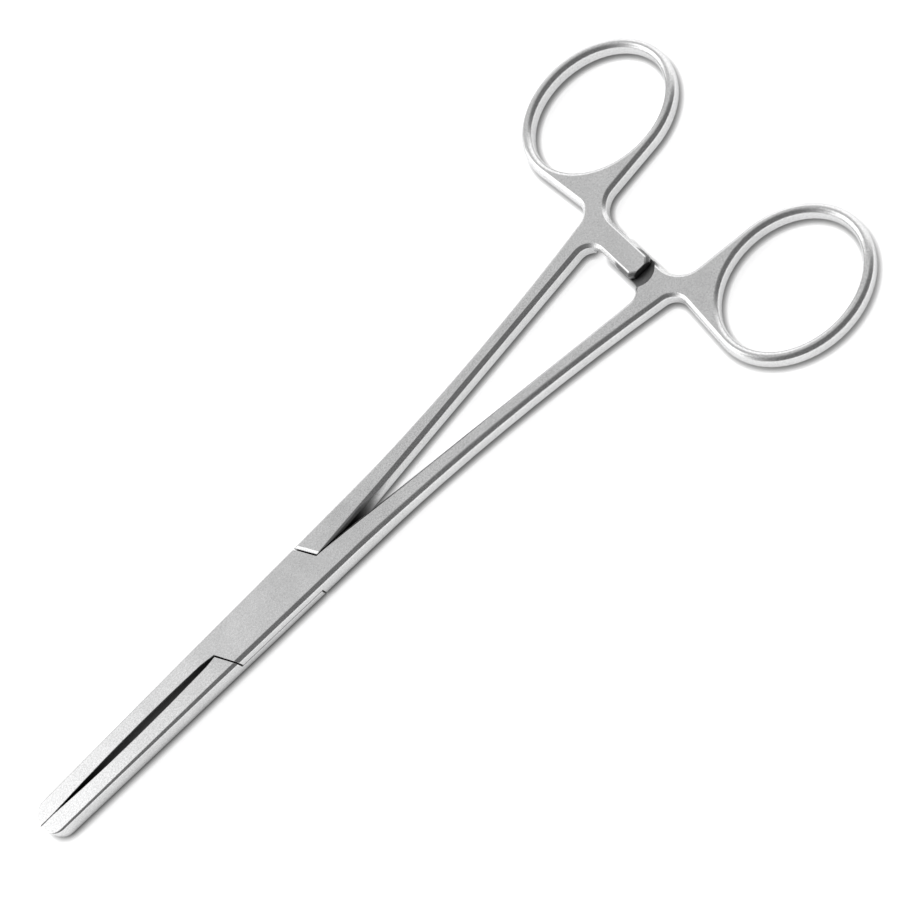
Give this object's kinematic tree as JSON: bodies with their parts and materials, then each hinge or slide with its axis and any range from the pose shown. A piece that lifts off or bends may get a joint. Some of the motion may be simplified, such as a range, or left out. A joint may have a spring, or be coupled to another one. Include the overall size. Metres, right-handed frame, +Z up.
{
  "type": "tube occluding forceps",
  "caption": "Ring-handled forceps for pinching off tubing, with smooth flat jaws, a half-lap joint on a flush rivet, long slender shanks and a ratchet.",
  "frame": {"origin": "on the pivot axis, at the underside of the lap joint, on which the part lies", "axes": "+X along the jaws towards their tips, +Y towards the upper half's finger ring, +Z up along the pivot"},
  "size_m": [0.184, 0.0802, 0.0048],
  "materials": {
    "satin_steel": "satin ground stainless steel"
  },
  "bodies": {
    "upper": {"upper_half": "satin_steel", "pivot_rivet": "satin_steel"},
    "lower": {"lower_half": "satin_steel"}
  },
  "joints": [
    {"name": "pivot", "type": "hinge", "parent": "upper", "child": "lower", "pos_m": [0, 0, 0.0024], "axis": [0, 0, 1], "range_deg": [0, 60]}
  ]
}
